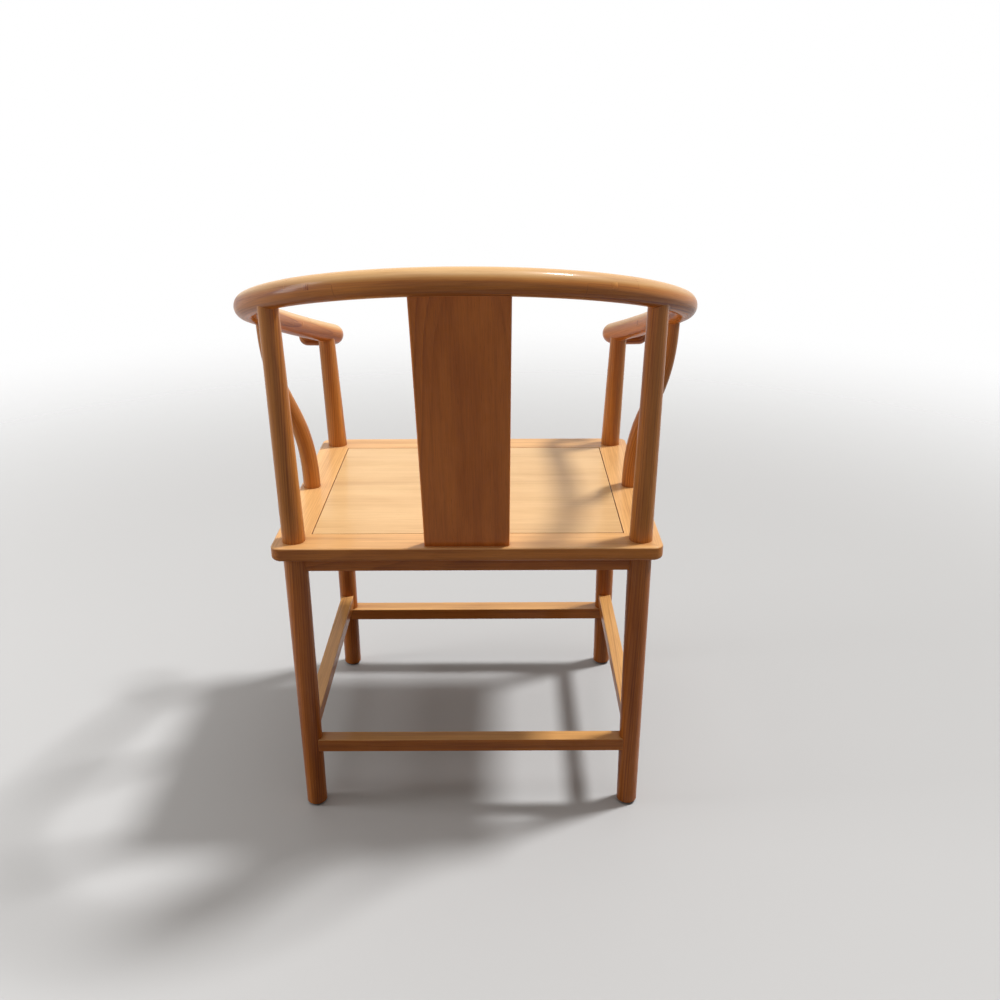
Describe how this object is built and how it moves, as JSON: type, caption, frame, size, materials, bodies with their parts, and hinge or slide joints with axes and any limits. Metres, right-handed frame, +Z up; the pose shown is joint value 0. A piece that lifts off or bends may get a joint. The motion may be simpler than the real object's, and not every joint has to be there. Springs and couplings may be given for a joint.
{
  "type": "round-back armchair",
  "caption": "Round-back wooden armchair: a sloping horseshoe rail with curled hand ends on turned posts, a curved back splat, S-shaped side braces, a framed panel seat and stretchers.",
  "frame": {"origin": "on the floor under the middle of the chair's overall box", "axes": "+Z up, the sitter faces -Y, +X is the sitter's left"},
  "size_m": [0.6122, 0.5859, 0.807],
  "materials": {
    "rail_wood": "satin lacquer, grain along the bends",
    "pin_wood": "satin lacquer, end grain",
    "splat_wood": "satin lacquer, upright grain",
    "leg_wood": "satin lacquer, grain along the length",
    "frame_wood": "satin lacquer, grain along each member",
    "panel_wood": "satin lacquer, grain from side to side",
    "batten_wood": "plain oiled wood",
    "bar_wood": "satin lacquer, grain along the length",
    "glide_felt": "dark felt"
  },
  "bodies": {
    "root": {"rail_crest": "rail_wood", "rail_shoulder_left": "rail_wood", "rail_shoulder_right": "rail_wood", "rail_arm_left": "rail_wood", "rail_arm_right": "rail_wood", "rail_wedge_pins": "pin_wood", "back_splat": "splat_wood", "rear_leg_left": "leg_wood", "rear_leg_right": "leg_wood", "front_leg_left": "leg_wood", "front_leg_right": "leg_wood", "side_brace_left": "leg_wood", "side_brace_right": "leg_wood", "seat_frame_back": "frame_wood", "seat_frame_front": "frame_wood", "seat_frame_left": "frame_wood", "seat_frame_right": "frame_wood", "seat_panel": "panel_wood", "panel_batten_left": "batten_wood", "panel_batten_right": "batten_wood", "apron_back": "bar_wood", "apron_front": "bar_wood", "apron_left": "bar_wood", "apron_right": "bar_wood", "stretcher_back": "bar_wood", "stretcher_front": "bar_wood", "stretcher_left": "bar_wood", "stretcher_right": "bar_wood", "foot_glides": "glide_felt"}
  },
  "joints": []
}
